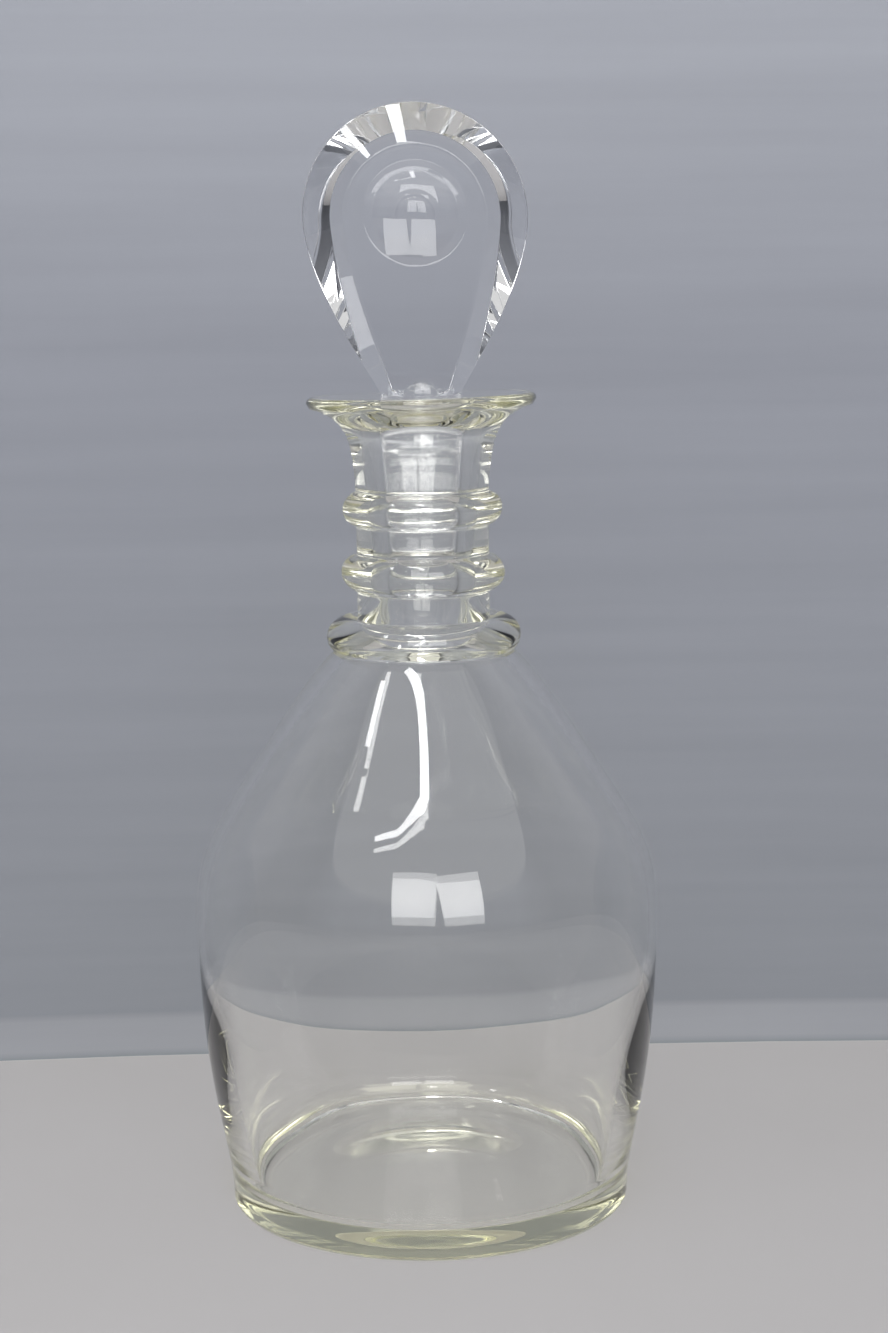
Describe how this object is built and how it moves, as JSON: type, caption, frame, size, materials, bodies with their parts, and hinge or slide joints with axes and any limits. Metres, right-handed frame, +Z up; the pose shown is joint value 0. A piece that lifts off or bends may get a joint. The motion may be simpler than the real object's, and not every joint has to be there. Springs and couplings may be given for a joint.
{
  "type": "glass decanter",
  "caption": "Blown glass decanter: hollow vessel with a flared lip, glass rings round its neck and a solid bevelled stopper that lifts out.",
  "frame": {"origin": "on the table under the middle of the foot", "axes": "+Z up along the vessel's axis, the flat faces of the stopper towards -Y (front) and +Y"},
  "size_m": [0.1176, 0.1176, 0.2783],
  "materials": {
    "decanter_glass": "clear fire-polished glass with a faint straw-green tint that shows in its edges",
    "stopper_glass": "clear colourless polished glass with a ground peg"
  },
  "bodies": {
    "decanter": {"decanter_body": "decanter_glass", "neck_ring_lower": "decanter_glass", "neck_ring_middle": "decanter_glass", "neck_ring_upper": "decanter_glass"},
    "stopper": {"stopper": "stopper_glass"}
  },
  "joints": [
    {"name": "stopper_lift", "type": "slide", "parent": "decanter", "child": "stopper", "axis": [0, 0, 1], "range_m": [0, 0.08]}
  ]
}
